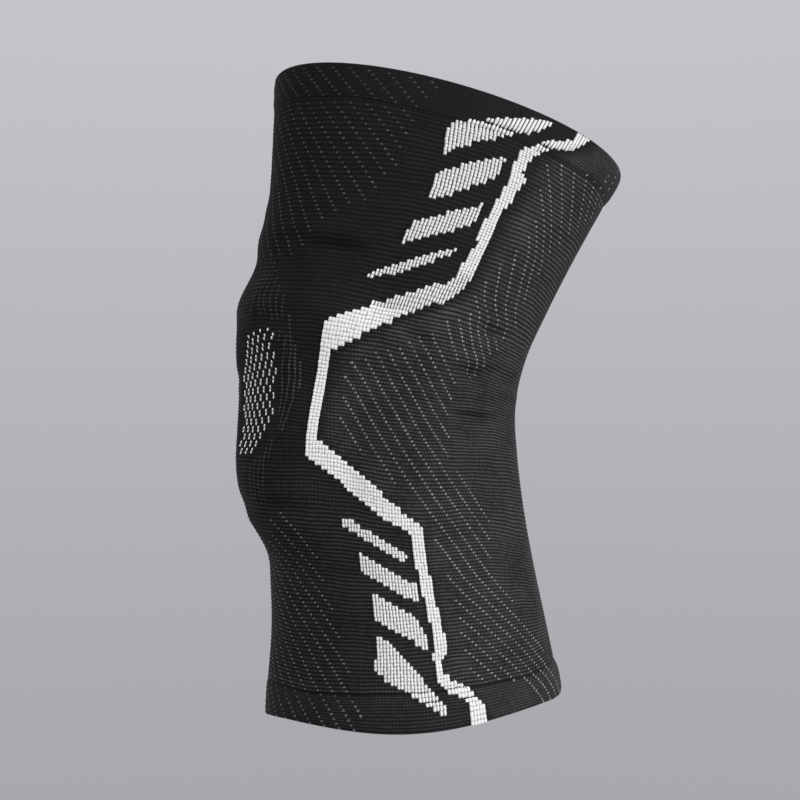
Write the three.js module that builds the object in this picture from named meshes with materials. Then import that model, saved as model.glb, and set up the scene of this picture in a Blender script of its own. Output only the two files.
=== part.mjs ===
// A knitted knee compression sleeve, in the form that a slightly bent knee gives it.
// Millimetres, +Z up the leg, -Y to the front of the knee, +X to the wearer's left.
// The origin is the middle of the knee, on the leg's axis inside the sleeve.

import * as THREE from "three";

const table = (columns, rows) =>
  rows.map((row) => Object.fromEntries(columns.map((column, i) => [column, row[i]])));

// Sizes of the knit
const WALL = 2.0;
const BOTTOM_WELT_HEIGHT = 13.0;
const TOP_WELT_HEIGHT = 14.5;
const SEAM_GAP = 0.3;
const STRIPE_GAP = 0.35;
const STRIPE_THICKNESS = 0.8;

// Sections across the leg from the calf edge to the thigh edge: the front and back points
// on the leg's middle plane, and half the width from side to side
const SECTIONS = table(
  ["frontY", "frontZ", "backY", "backZ", "halfWidth"],
  [
    [-47.5, -133.0, 82.5, -124.5, 64.0],
    [-45.5, -121.0, 79.5, -112.0, 62.0],
    [-44.0, -100.0, 74.5, -91.0, 59.5],
    [-45.0, -74.0, 69.0, -67.0, 57.0],
    [-46.5, -50.0, 64.5, -45.0, 56.0],
    [-46.0, -22.0, 61.0, -23.0, 56.0],
    [-45.0, 8.0, 59.5, -4.0, 57.0],
    [-45.5, 40.0, 64.5, 15.0, 59.0],
    [-46.0, 70.0, 77.5, 38.0, 61.0],
    [-44.0, 105.0, 96.0, 67.0, 63.5],
    [-43.0, 125.0, 107.5, 84.0, 65.5],
    [-42.5, 140.0, 117.0, 97.5, 66.5],
  ],
);

// The kneecap pushes a dome out of the front: how far at each height, and the arcs from the
// front line where the dome starts to fall and where it ends
const KNEECAP = table(
  ["z", "rise", "flatArc", "edgeArc"],
  [
    [-71.0, 0.0, 6.0, 38.0],
    [-34.0, 14.0, 8.0, 44.0],
    [0.0, 12.8, 16.0, 50.0],
    [31.0, 13.8, 26.0, 58.0],
    [84.0, 0.0, 30.0, 64.0],
  ],
);

// A raised oval ring runs round the kneecap patch on the dome
const RING = { rise: 2.0, middleZ: -1.0, halfHeight: 29.0, halfWidth: 22.0, softness: 7.0 };

// Creases of the bent knit on each side: a hollow has a negative rise
const CREASES = table(
  ["station", "angle", "halfAngle", "halfHeight", "rise"],
  [
    [190.0, 24.0, 28.0, 8.0, -1.2],
    [143.0, 112.0, 32.0, 5.5, -2.2],
    [135.5, 116.0, 36.0, 5.0, 1.0],
    [128.0, 104.0, 26.0, 5.0, -1.8],
    [88.0, 10.0, 22.0, 8.0, -1.2],
  ],
);

// The turned hem's section: share of its height from seam to edge, and its two faces
const WELT_PROFILE = table(
  ["share", "outer", "inner"],
  [
    [0.0, 0.0, -2.6],
    [0.35, 0.8, -3.0],
    [0.85, 0.7, -2.8],
    [1.0, -0.6, -1.6],
  ],
);

// Rungs of the white stripes, from one edge of the stripe to the other:
// angles are degrees round the leg from the front line, stations millimetres up from the calf edge
const RUNG = ["leadAngle", "leadStation", "trailAngle", "trailStation"];
const ZIGZAG = table(RUNG, [
  [83.5, 1.5, 89.5, 1.5],
  [80.0, 8.2, 85.0, 11.5],
  [73.5, 13.8, 79.0, 15.3],
  [70.0, 22.0, 74.0, 21.0],
  [70.0, 28.0, 75.0, 28.0],
  [68.0, 52.0, 73.0, 52.0],
  [67.0, 76.0, 71.0, 78.7],
  [47.0, 88.8, 49.0, 97.5],
  [26.0, 106.5, 30.0, 113.0],
  [29.5, 130.0, 32.5, 130.0],
  [34.0, 149.5, 34.0, 140.8],
  [51.0, 160.5, 53.0, 152.3],
  [77.0, 173.6, 80.0, 168.0],
  [82.0, 184.0, 88.0, 183.0],
  [85.5, 204.0, 91.0, 204.0],
  [88.5, 229.5, 93.5, 229.5],
  [94.0, 239.0, 97.0, 237.7],
  [107.5, 250.0, 112.5, 250.0],
]);
const BARS = {
  upper_bar_1: table(RUNG, [
    [64.0, 232.3, 65.0, 222.6],
    [67.0, 237.3, 69.0, 226.4],
    [77.0, 242.1, 77.0, 232.8],
    [85.0, 246.0, 85.0, 238.0],
    [93.0, 249.6, 93.0, 244.8],
    [96.5, 250.2, 97.0, 249.4],
  ]),
  upper_bar_2: table(RUNG, [
    [65.0, 215.7, 64.0, 203.6],
    [72.0, 220.7, 70.0, 207.4],
    [79.0, 225.6, 79.0, 215.7],
    [85.5, 228.5, 84.5, 220.3],
  ]),
  upper_bar_3: table(RUNG, [
    [60.0, 192.8, 57.0, 184.0],
    [73.0, 201.7, 72.0, 192.2],
    [83.0, 208.7, 82.0, 200.4],
  ]),
  upper_bar_4: table(RUNG, [
    [49.0, 172.5, 46.0, 168.4],
    [63.0, 179.5, 62.0, 175.1],
    [77.5, 187.9, 76.5, 184.8],
  ]),
  lower_bar_1: table(RUNG, [
    [37.0, 84.4, 38.0, 80.6],
    [50.0, 77.4, 50.0, 72.5],
    [64.0, 67.2, 62.0, 64.6],
  ]),
  lower_bar_2: table(RUNG, [
    [43.5, 69.8, 44.0, 62.3],
    [66.0, 55.8, 66.0, 48.8],
  ]),
  lower_bar_3: table(RUNG, [
    [47.0, 53.9, 47.0, 44.4],
    [64.0, 42.8, 64.0, 32.0],
    [67.0, 36.4, 67.0, 29.8],
  ]),
  lower_bar_4: table(RUNG, [
    [48.0, 36.8, 46.5, 24.0],
    [53.0, 33.5, 50.5, 19.5],
    [60.0, 25.4, 58.0, 13.5],
    [73.0, 5.0, 71.0, 3.0],
  ]),
};

// How finely the knit is faceted
const FRONT_REACH = 60.0;
const FRONT_STEP = 5.0;
const BACK_STEP = 10.0;
const RUNG_STEP = 6.0;
const ACROSS_STEP = 7.0;
const ROW_BANDS = table(
  ["upTo", "step"],
  [
    [78.0, 9.0],
    [98.0, 5.0],
    [122.0, 6.0],
    [148.0, 3.6],
    [182.0, 7.0],
    [198.0, 4.0],
    [Infinity, 9.0],
  ],
);

const radians = THREE.MathUtils.degToRad;
const { lerp, smoothstep } = THREE.MathUtils;
const bump = (x) => (Math.abs(x) < 1 ? 0.5 + 0.5 * Math.cos(Math.PI * x) : 0);

// Station of each section: the length of the leg's axis up to it
const STATIONS = SECTIONS.map(() => 0);
for (let i = 1; i < SECTIONS.length; i += 1) {
  const [low, high] = [SECTIONS[i - 1], SECTIONS[i]];
  const stepY = (high.frontY + high.backY - low.frontY - low.backY) / 2;
  const stepZ = (high.frontZ + high.backZ - low.frontZ - low.backZ) / 2;
  STATIONS[i] = STATIONS[i - 1] + Math.hypot(stepY, stepZ);
}
const LENGTH = STATIONS.at(-1);

function slope(column, i) {
  const low = Math.max(i - 1, 0);
  const high = Math.min(i + 1, SECTIONS.length - 1);
  const rise = (from, to) =>
    (SECTIONS[to][column] - SECTIONS[from][column]) / (STATIONS[to] - STATIONS[from]);
  if (low === i || high === i) return rise(low, high);
  const [below, above] = [STATIONS[i] - STATIONS[low], STATIONS[high] - STATIONS[i]];
  return (rise(low, i) * above + rise(i, high) * below) / (below + above);
}

// One smooth curve through each column of the section table
function sectionAt(station) {
  let i = 0;
  while (i < SECTIONS.length - 2 && station > STATIONS[i + 1]) i += 1;
  const span = STATIONS[i + 1] - STATIONS[i];
  const t = (station - STATIONS[i]) / span;
  const blend = (column) =>
    (1 + 2 * t) * (1 - t) ** 2 * SECTIONS[i][column] +
    t * (1 - t) ** 2 * span * slope(column, i) +
    t * t * (3 - 2 * t) * SECTIONS[i + 1][column] +
    t * t * (t - 1) * span * slope(column, i + 1);
  return Object.fromEntries(Object.keys(SECTIONS[i]).map((column) => [column, blend(column)]));
}

// The kneecap's row at one height, blended between the rows of its table
function kneecapAt(z) {
  let i = 0;
  while (i < KNEECAP.length - 2 && z > KNEECAP[i + 1].z) i += 1;
  const [low, high] = [KNEECAP[i], KNEECAP[i + 1]];
  const share = smoothstep(z, low.z, high.z);
  return Object.fromEntries(
    Object.keys(low).map((column) => [column, lerp(low[column], high[column], share)]),
  );
}

// How far the knee pushes the knit out at one place
function relief(angle, station, z, arc) {
  const kneecap = kneecapAt(z);
  const dome = kneecap.rise * (1 - smoothstep(arc, kneecap.flatArc, kneecap.edgeArc));
  const reach = Math.hypot(arc / RING.halfWidth, (z - RING.middleZ) / RING.halfHeight);
  const ring = RING.rise * Math.exp(-((((reach - 1) * RING.halfWidth) / RING.softness) ** 2));
  let creases = 0;
  for (const crease of CREASES) {
    const across = bump((station - crease.station) / crease.halfHeight);
    creases += crease.rise * across * bump((Math.abs(angle) - crease.angle) / crease.halfAngle);
  }
  return dome + ring + creases;
}

// A point of the sleeve's outer face, moved out of it by an offset
function surfacePoint(angle, station, offset) {
  const section = sectionAt(station);
  const front = new THREE.Vector2(section.frontY, section.frontZ);
  const back = new THREE.Vector2(section.backY, section.backZ);
  const middle = front.clone().add(back).multiplyScalar(0.5);
  const halfDepth = front.distanceTo(back) / 2;
  const toBack = back.clone().sub(front).normalize();
  const [cos, sin] = [Math.cos(radians(angle)), Math.sin(radians(angle))];
  const outward = new THREE.Vector2(sin / section.halfWidth, cos / halfDepth).normalize();
  const z = middle.y - toBack.y * halfDepth * cos;
  const arc = Math.abs(radians(angle)) * section.halfWidth;
  const push = offset + relief(angle, station, z, arc);
  const side = section.halfWidth * sin + outward.x * push;
  const depth = -(halfDepth * cos + outward.y * push);
  return new THREE.Vector3(side, middle.x + toBack.x * depth, middle.y + toBack.y * depth);
}

// A closed shell between two grids of points whose rows run up the leg
function shell(outer, inner, wraps) {
  const positions = [];
  const triangle = (...corners) => {
    for (const corner of corners) positions.push(corner.x, corner.y, corner.z);
  };
  const quad = (a, b, c, d) => {
    triangle(a, b, c);
    triangle(a, c, d);
  };
  const columns = outer[0].length;
  const last = outer.length - 1;
  const next = (j) => (j + 1) % columns;
  for (let j = 0; j < (wraps ? columns : columns - 1); j += 1) {
    for (let i = 0; i < last; i += 1) {
      quad(outer[i][j], outer[i][next(j)], outer[i + 1][next(j)], outer[i + 1][j]);
      quad(inner[i][next(j)], inner[i][j], inner[i + 1][j], inner[i + 1][next(j)]);
    }
    quad(inner[0][j], inner[0][next(j)], outer[0][next(j)], outer[0][j]);
    quad(outer[last][j], outer[last][next(j)], inner[last][next(j)], inner[last][j]);
  }
  for (let i = 0; i < last && !wraps; i += 1) {
    quad(inner[i][0], outer[i][0], outer[i + 1][0], inner[i + 1][0]);
    quad(outer[i].at(-1), inner[i].at(-1), inner[i + 1].at(-1), outer[i + 1].at(-1));
  }
  const geometry = new THREE.BufferGeometry();
  geometry.setAttribute("position", new THREE.Float32BufferAttribute(positions, 3));
  geometry.computeVertexNormals();
  return geometry;
}

// Angles of the facets round the leg, closer together over the kneecap
function ringAngles() {
  const angles = [];
  for (let angle = -FRONT_REACH; angle < FRONT_REACH; angle += FRONT_STEP) angles.push(angle);
  for (let angle = FRONT_REACH; angle < 360 - FRONT_REACH; angle += BACK_STEP) {
    angles.push(angle > 180 ? angle - 360 : angle);
  }
  return angles;
}
const RING_ANGLES = ringAngles();
const ringOf = (station, offset) => RING_ANGLES.map((angle) => surfacePoint(angle, station, offset));

// Stations of the rows between two edges, closer together where the knit creases
function rowStations(from, to) {
  const rows = [];
  let start = from;
  for (const band of ROW_BANDS) {
    const end = Math.min(band.upTo, to);
    const count = Math.max(Math.round((end - start) / band.step), 1);
    for (let i = 0; i < count; i += 1) rows.push(lerp(start, end, i / count));
    start = end;
  }
  return [...rows, to];
}

function knitTube() {
  const rows = rowStations(BOTTOM_WELT_HEIGHT + SEAM_GAP, LENGTH - TOP_WELT_HEIGHT - SEAM_GAP);
  return shell(rows.map((row) => ringOf(row, 0)), rows.map((row) => ringOf(row, -WALL)), true);
}

function welt(seamStation, edgeStation) {
  const rows = seamStation < edgeStation ? WELT_PROFILE : WELT_PROFILE.toReversed();
  const ringsOf = (face) => rows.map((row) => ringOf(lerp(seamStation, edgeStation, row.share), row[face]));
  return shell(ringsOf("outer"), ringsOf("inner"), true);
}

// How far the hems' outer faces stand out, which the stripes that cross them follow
function weltRise(station) {
  const below = (BOTTOM_WELT_HEIGHT - station) / BOTTOM_WELT_HEIGHT;
  const above = (station - LENGTH + TOP_WELT_HEIGHT) / TOP_WELT_HEIGHT;
  const share = Math.max(below, above, 0);
  const i = Math.max(WELT_PROFILE.findIndex((row) => row.share >= share), 1);
  const [low, high] = [WELT_PROFILE[i - 1], WELT_PROFILE[i]];
  return lerp(low.outer, high.outer, (share - low.share) / (high.share - low.share));
}

function finerRungs(rungs) {
  const finer = [];
  for (let i = 1; i < rungs.length; i += 1) {
    const [from, to] = [rungs[i - 1], rungs[i]];
    const leadLength = Math.hypot(to.leadAngle - from.leadAngle, to.leadStation - from.leadStation);
    const trailLength = Math.hypot(to.trailAngle - from.trailAngle, to.trailStation - from.trailStation);
    const count = Math.ceil(Math.max(leadLength, trailLength) / RUNG_STEP);
    for (let k = 0; k < count; k += 1) {
      const share = k / count;
      const between = RUNG.map((column) => [column, lerp(from[column], to[column], share)]);
      finer.push(Object.fromEntries(between));
    }
  }
  return [...finer, rungs.at(-1)];
}

// A stripe of raised white yarn over the knit; side is 1 on the wearer's left and -1 on the right
function stripe(rungs, side) {
  const widths = rungs.map((rung) =>
    Math.hypot(rung.trailAngle - rung.leadAngle, rung.trailStation - rung.leadStation),
  );
  const across = Math.ceil(Math.max(...widths) / ACROSS_STEP);
  const face = (offset) =>
    finerRungs(rungs).map((rung) => {
      const points = [];
      for (let k = 0; k <= across; k += 1) {
        const angle = lerp(rung.leadAngle, rung.trailAngle, k / across);
        const station = lerp(rung.leadStation, rung.trailStation, k / across);
        points.push(surfacePoint(side * angle, station, weltRise(station) + offset));
      }
      return side > 0 ? points : points.reverse();
    });
  return shell(face(STRIPE_GAP + STRIPE_THICKNESS), face(STRIPE_GAP), false);
}

const blackKnit = () => new THREE.MeshStandardMaterial({ color: 0x1d1d1f, roughness: 0.9, metalness: 0 });
const whiteYarn = () => new THREE.MeshStandardMaterial({ color: 0xe6e6e8, roughness: 0.8, metalness: 0 });

const sleeve = new THREE.Group();
function addPiece(name, geometry, material) {
  const mesh = new THREE.Mesh(geometry, material);
  mesh.name = name;
  sleeve.add(mesh);
}

addPiece("knit_tube", knitTube(), blackKnit());
addPiece("bottom_welt", welt(BOTTOM_WELT_HEIGHT, 0), blackKnit());
addPiece("top_welt", welt(LENGTH - TOP_WELT_HEIGHT, LENGTH), blackKnit());
for (const [sideName, side] of [["left", 1], ["right", -1]]) {
  addPiece(`zigzag_stripe_${sideName}`, stripe(ZIGZAG, side), whiteYarn());
  for (const [barName, rungs] of Object.entries(BARS)) {
    addPiece(`${barName}_${sideName}`, stripe(rungs, side), whiteYarn());
  }
}

export default sleeve;
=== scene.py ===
"""A knitted knee compression sleeve: ribbed black knit, white stitches, dotted lines, turned hems."""

import math

import bpy
import numpy as np
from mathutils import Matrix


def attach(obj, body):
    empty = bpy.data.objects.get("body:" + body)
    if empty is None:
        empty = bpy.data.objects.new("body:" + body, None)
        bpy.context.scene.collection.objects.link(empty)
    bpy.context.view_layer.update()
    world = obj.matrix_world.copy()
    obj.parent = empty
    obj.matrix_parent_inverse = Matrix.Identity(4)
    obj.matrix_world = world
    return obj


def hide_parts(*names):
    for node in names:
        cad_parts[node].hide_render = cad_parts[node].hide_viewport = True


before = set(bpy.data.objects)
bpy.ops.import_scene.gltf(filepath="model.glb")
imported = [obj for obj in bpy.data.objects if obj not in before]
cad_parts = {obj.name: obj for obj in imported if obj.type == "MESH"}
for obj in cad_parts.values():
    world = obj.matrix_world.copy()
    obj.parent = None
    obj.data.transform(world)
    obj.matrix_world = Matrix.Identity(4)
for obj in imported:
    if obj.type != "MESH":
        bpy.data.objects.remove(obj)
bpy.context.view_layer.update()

MM = 0.001
SEED = 7
random = np.random.default_rng(SEED)

# Sizes in millimetres
WALL = 2.0
BOTTOM_WELT_HEIGHT = 13.0
TOP_WELT_HEIGHT = 14.5
SEAM_GAP = 0.05

# Sections across the leg from calf edge to thigh edge: front y and z, back y and z, half width
SECTIONS = np.array([
    [-46.4, -133.0, 82.5, -124.5, 64.0],
    [-45.5, -121.0, 79.5, -112.0, 62.0],
    [-44.0, -100.0, 74.5, -91.0, 59.5],
    [-45.0, -74.0, 69.0, -67.0, 57.0],
    [-46.5, -50.0, 64.5, -45.0, 56.0],
    [-46.0, -22.0, 61.0, -23.0, 56.0],
    [-45.0, 8.0, 59.5, -4.0, 57.0],
    [-45.5, 40.0, 64.5, 15.0, 59.0],
    [-46.0, 70.0, 77.5, 38.0, 61.0],
    [-44.0, 105.0, 96.0, 67.0, 63.5],
    [-43.0, 125.0, 107.5, 84.0, 65.5],
    [-42.5, 140.0, 117.0, 97.5, 66.5],
])

# The kneecap's dome: height z, rise, and the arcs from the front line where it starts to fall and ends
KNEECAP = np.array([
    [-73.0, 0.0, 6.0, 38.0],
    [-37.5, 14.0, 8.0, 44.0],
    [0.0, 12.0, 16.0, 50.0],
    [34.0, 13.8, 26.0, 58.0],
    [62.0, 4.3, 28.0, 61.0],
    [92.0, 0.0, 30.0, 64.0],
])
RING_RISE = 2.0
RING_MIDDLE_Z = -1.0
RING_HALF_HEIGHT = 29.0
RING_HALF_WIDTH = 22.0
RING_SOFTNESS = 7.0

# Creases on each side, and on the left side alone: station, angle, half angle, half height, rise
CREASES = [
    (190.0, 24.0, 28.0, 8.0, -0.5),
    (143.0, 112.0, 32.0, 5.5, -2.2),
    (135.5, 116.0, 36.0, 5.0, 1.0),
    (122.5, 104.0, 26.0, 5.0, -1.6),
    (88.0, 10.0, 22.0, 8.0, -1.2),
    (24.5, 72.0, 10.0, 4.0, -0.9),
    (31.0, 80.0, 6.0, 14.0, 0.5),
    (207.0, 104.0, 11.0, 26.0, 0.8),
    (160.0, 104.0, 12.0, 4.5, -2.2),
    (149.5, 70.0, 11.0, 4.5, -2.0),
    (145.5, 56.0, 13.0, 4.0, -0.7),
    (134.0, 58.0, 16.0, 6.0, -1.1),
    (151.0, 90.0, 14.0, 4.0, -0.8),
    (149.0, 8.0, 14.0, 5.0, -1.0),
    (141.0, 97.0, 15.0, 4.0, -2.8),
    (132.5, 99.0, 20.0, 5.0, 0.9),
    (131.5, 20.0, 9.0, 4.0, -0.5),
    (122.5, 99.0, 17.0, 3.6, -2.4),
]
LEFT_CREASES = [
    (177.5, 32.0, 17.0, 6.5, -2.6),
    (180.5, 14.0, 14.0, 6.0, -1.3),
    (87.5, 15.0, 11.0, 6.0, -1.4),
    (26.5, 77.5, 8.0, 5.5, -1.9),
]

# The bottom edge hangs lower in places: angle, half angle, drop; and how high the pull reaches
EDGE_DROOPS = [
    (60.0, 50.0, 3.0),
    (-60.0, 50.0, 3.0),
    (-34.0, 26.0, 2.4),
    (-18.0, 26.0, 1.7),
    (142.0, 30.0, 1.6),
    (-142.0, 30.0, 1.6),
]
EDGE_DROOP_REACH = 9.0

# Slow waves along the courses: height in millimetres, turns round the leg, turns for each metre up, phase
COURSE_WAVES = [
    (0.20, 8, 14.0, 0.1),
    (0.12, 15, -23.0, 0.4),
    (0.08, 31, 34.0, 0.7),
]
WAVE_EDGE = 16.0

# The turned hem's closed section: share of its height from seam to edge, and how far it stands out
WELT_PROFILE = np.array([
    [0.00, -0.06],
    [0.06, 0.00],
    [0.14, 0.12],
    [0.28, 0.29],
    [0.50, 0.36],
    [0.72, 0.35],
    [0.86, 0.29],
    [0.95, 0.14],
    [0.985, -0.20],
    [1.00, -0.80],
    [0.99, -1.50],
    [0.95, -2.10],
    [0.86, -2.60],
    [0.60, -2.90],
    [0.30, -3.00],
    [0.00, -2.60],
])
WELT_STAND_ROWS = 8
SEAM_DRAW = -0.06
SEAM_DRAW_REACH = 1.6
BACK_STAND = 2.2
BACK_STAND_FROM = 95.0
BACK_STAND_TO = 135.0

# Rungs of the white stripes from edge to edge: lead angle and station, trail angle and station
STRIPES = {
    "zigzag_stripe": [
        (81.6, 0.0, 87.6, 0.0),
        (81.6, 4.8, 87.3, 4.6),
        (80.2, 7.8, 85.3, 7.8),
        (77.0, 10.0, 84.0, 10.4),
        (74.0, 11.8, 82.0, 12.8),
        (72.4, 13.8, 79.5, 14.2),
        (70.6, 16.4, 75.8, 16.2),
        (70.0, 18.5, 74.5, 18.6),
        (69.9, 21.5, 72.4, 21.0),
        (69.9, 24.6, 72.4, 24.2),
        (68.65, 25.4, 73.6, 25.2),
        (68.65, 28.6, 74.8, 28.8),
        (69.9, 29.5, 74.8, 29.5),
        (69.9, 40.0, 74.8, 36.0),
        (68.65, 40.6, 73.6, 36.6),
        (68.65, 51.4, 73.6, 46.6),
        (67.4, 51.9, 72.4, 47.1),
        (67.4, 62.5, 72.4, 59.2),
        (66.2, 63.0, 71.1, 59.8),
        (66.2, 76.0, 71.1, 78.7),
        (47.0, 88.8, 49.0, 97.5),
        (26.0, 106.5, 30.0, 111.8),
        (29.5, 130.0, 32.5, 130.0),
        (34.0, 149.5, 35.0, 140.8),
        (51.0, 160.5, 53.0, 152.3),
        (77.0, 173.6, 80.0, 168.0),
        (80.0, 176.8, 85.6, 177.0),
        (82.7, 189.0, 87.8, 190.6),
        (84.0, 189.8, 88.9, 192.0),
        (84.6, 203.2, 90.4, 209.0),
        (85.9, 204.0, 91.8, 210.4),
        (87.8, 218.6, 93.8, 221.4),
        (89.3, 219.4, 95.0, 222.4),
        (89.3, 224.0, 94.6, 223.6),
        (88.0, 226.0, 93.0, 224.8),
        (88.0, 228.6, 92.8, 228.8),
        (89.7, 229.4, 93.2, 230.4),
        (89.9, 235.6, 94.9, 234.6),
        (94.0, 239.0, 97.5, 237.7),
        (97.0, 242.5, 101.0, 241.0),
        (102.0, 245.0, 107.5, 243.5),
        (106.5, 248.0, 110.8, 248.0),
        (107.5, 251.5, 113.0, 251.5),
    ],
    "upper_bar_1": [
        (64.0, 232.3, 65.0, 222.6),
        (67.0, 237.3, 69.0, 226.4),
        (77.0, 242.1, 77.0, 232.8),
        (85.0, 246.0, 85.0, 238.0),
        (93.0, 249.6, 93.0, 244.8),
        (96.5, 250.2, 97.0, 249.4),
    ],
    "upper_bar_2": [
        (65.0, 215.7, 64.0, 203.6),
        (72.0, 220.7, 70.0, 207.4),
        (79.0, 225.6, 79.0, 215.7),
        (85.5, 228.5, 84.5, 220.3),
    ],
    "upper_bar_3": [
        (60.0, 192.8, 57.0, 184.0),
        (73.0, 201.7, 72.0, 192.2),
        (83.0, 208.7, 82.0, 200.4),
    ],
    "upper_bar_4": [
        (49.0, 172.5, 46.0, 168.4),
        (63.0, 179.5, 62.0, 175.1),
        (77.5, 187.9, 76.5, 184.8),
    ],
    "lower_bar_1": [
        (37.0, 84.4, 38.0, 80.6),
        (50.0, 77.4, 50.0, 72.5),
        (64.0, 67.2, 62.0, 64.6),
    ],
    "lower_bar_2": [
        (43.5, 69.8, 44.0, 62.3),
        (66.0, 55.8, 66.0, 48.8),
    ],
    "lower_bar_3": [
        (47.0, 53.9, 47.0, 44.4),
        (64.0, 42.8, 64.0, 32.0),
        (67.0, 36.4, 67.0, 29.8),
    ],
    "lower_bar_4": [
        (48.0, 36.8, 46.5, 24.0),
        (53.0, 33.5, 50.5, 19.5),
        (60.0, 25.4, 58.0, 13.5),
        (73.0, 6.2, 71.0, 4.2),
    ],
}

# The knitting chart: stitches round the leg, course numbers at stations, and how the wales lean
WALE = 1.24
HALF_WALES = np.array([
    [0.0, 0.0],
    [22.0, 17.4],
    [34.0, 29.0],
    [180.0, 147.0],
])
WALES = 294
COURSES = np.array([
    [0.0, 0.0],
    [9.5, 6.0],
    [13.7, 8.0],
    [70.0, 43.6],
    [92.0, 57.4],
    [112.0, 72.0],
    [138.0, 95.0],
    [158.0, 110.0],
    [205.0, 137.0],
    [220.0, 144.8],
    [236.6, 153.0],
    [240.2, 154.0],
    [253.5, 159.0],
])

# Height of a course on the hems
HEM_COURSE = 1.05

# How far the courses stray from level: station, stray at the side, and more at the back
COURSE_STRAY = np.array([
    [13.0, 0.0, 0.0],
    [35.0, -1.2, -4.5],
    [60.0, -3.0, -9.5],
    [80.0, -5.8, -12.0],
    [100.0, -6.2, -7.0],
    [125.0, -3.2, -3.0],
    [147.0, 0.2, -3.0],
    [165.0, 1.8, 0.0],
    [188.0, 2.8, -1.0],
    [210.0, 4.0, 0.0],
    [228.0, 2.5, -2.5],
    [238.8, 0.0, 0.0],
])
SIDE_STRAY_FROM = 15.0
SIDE_STRAY_TO = 75.0
BACK_STRAY_FROM = 90.0
BACK_STRAY_TO = 160.0
STRAY_LIMIT = 16.0
STRAY_STEPS = 4
LEAN = np.array([
    [0.0, 0.0],
    [104.0, 0.0],
    [113.0, 1.0],
    [130.0, 3.6],
    [149.5, 8.1],
    [172.0, 14.0],
    [195.0, 17.8],
    [210.0, 19.2],
    [220.0, 19.2],
    [238.0, 17.8],
    [253.5, 20.0],
])
SIDES = (("left", 1), ("right", -1))
SEAM_COURSES = (6, 8, 153, 154)
SEAM_DIP = 0.9
SEAM_DIP_REACHES = (0.35, 0.35, 0.35, 0.60)
SEAM_DIP_SPREAD = 0.18
SHORTEST_STRAND = 0.3
LEAST_STITCH = 0.45
STEEP_EDGE = 1.0

# How pale the cloth's crests are, from 0 to 1, a painted sheen that is stronger behind the zigzag: station,
# in front of the zigzag, and behind it
PALENESS = np.array([
    [0.0, 0.42, 0.85],
    [14.0, 0.48, 0.88],
    [22.0, 0.53, 1.00],
    [80.0, 0.53, 0.95],
    [105.0, 0.15, 0.85],
    [140.0, 0.10, 0.85],
    [152.0, 0.10, 1.00],
    [172.0, 0.0, 1.00],
    [253.0, 0.0, 0.95],
])

# The dark border behind the zigzag, before the painted sheen begins: station, degrees of border, degrees of
# blend
ZONE_BORDERS = np.array([
    [0.0, 1.5, 1.6],
    [115.0, 1.5, 1.6],
    [138.0, 4.0, 4.0],
    [175.0, 5.0, 5.0],
    [235.0, 5.5, 5.0],
])
FIELD_BLEND = 2.0

# A pale row of stitches just above the bottom hem: angle and station
SEAM_ROW = np.array([
    [15.0, 16.0],
    [57.0, 14.0],
])
SEAM_ROW_PALENESS = 0.35
SEAM_ROW_HALF_HEIGHT = 0.5
SEAM_ROW_FADE = 8.0

# Painted shade along the seams where the hems join the tube: station, half height, share of the paleness
# lost
SEAM_SHADES = [
    (13.0, 0.8, 0.35),
    (238.5, 1.2, 0.6),
]

# How far stitches and ribs stand out, in millimetres
RIB_RISE = 0.16
RIB_HOLLOW = -0.14
FRONT_RIB_SHARE = 0.5
STITCH_FOOT = -0.10
STITCH_BASE = 0.20
STITCH_END = -0.15
STITCH_RISE = 0.62
STITCH_TAPER = 0.10
STITCH_ROUND = 0.53
STITCH_SWAY = 0.035
STITCH_STRAY = 0.03
STITCH_HEIGHT_SPREAD = 0.10
DOT_FOOT = -0.12
DOT_RISE = 0.26
FLECK_RISE = 0.55

# How finely the cloth is meshed
TUBE_COLUMNS = 150
INNER_ROWS = 60
ROWS_PER_COURSE = 3
WELT_COLUMNS = 290
STITCH_ACROSS = (-0.50, -0.46, -0.25, 0.0, 0.25, 0.46, 0.50)
STITCH_ALONG = (-0.54, -0.50, -0.28, 0.0, 0.28, 0.50, 0.54)
DOT_GRID = (-1.0, -0.5, 0.5, 1.0)

# White stitches by kind: half width in wales, height of the shoulder in millimetres, how deep the rows dip,
# how light the grooves' painted shade is, the painted light on each kind, and how many courses each stitch
# fills
STITCH_COLUMNS = ("half_width", "shoulder", "row_dip", "groove_shade", "light", "courses")
STITCH_ROWS = {
    "zigzag": (0.60, 0.24, 0.60, 0.40, 0.98, 1.0),
    "slant": (0.45, 0.04, 0.55, 0.08, 0.97, 1.0),
    "run": (0.52, 0.18, 0.55, 0.34, 0.90, 2 / 3),
    "strand": (0.43, 0.0, 0.12, 0.05, 0.97, 0.5),
    "upper": (0.42, 0.0, 0.55, 0.06, 0.94, 0.77),
    "lower": (0.48, 0.14, 0.60, 0.16, 1.06, 1.0),
}
STITCH_KINDS = {kind: dict(zip(STITCH_COLUMNS, row)) for kind, row in STITCH_ROWS.items()}

# The zigzag changes kind as it climbs: lowest station, kind
ZIGZAG_ZONES = [
    (236.0, "strand"),
    (176.0, "run"),
    (158.0, "slant"),
    (0.0, "zigzag"),
]

# Dots of lighter yarn: how their tones vary, and half width in wales and half height in millimetres by field
DOT_TONE_SPREAD = 0.25
LEAST_TONE = 0.05
DOT_SIZES = {
    "back": (0.50, 0.55),
    "side": (0.50, 0.52),
    "thigh": (0.55, 0.52),
    "shin": (0.55, 0.50),
    "ring": (0.36, 0.46),
    "fleck": (0.24, 0.60),
}

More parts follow.
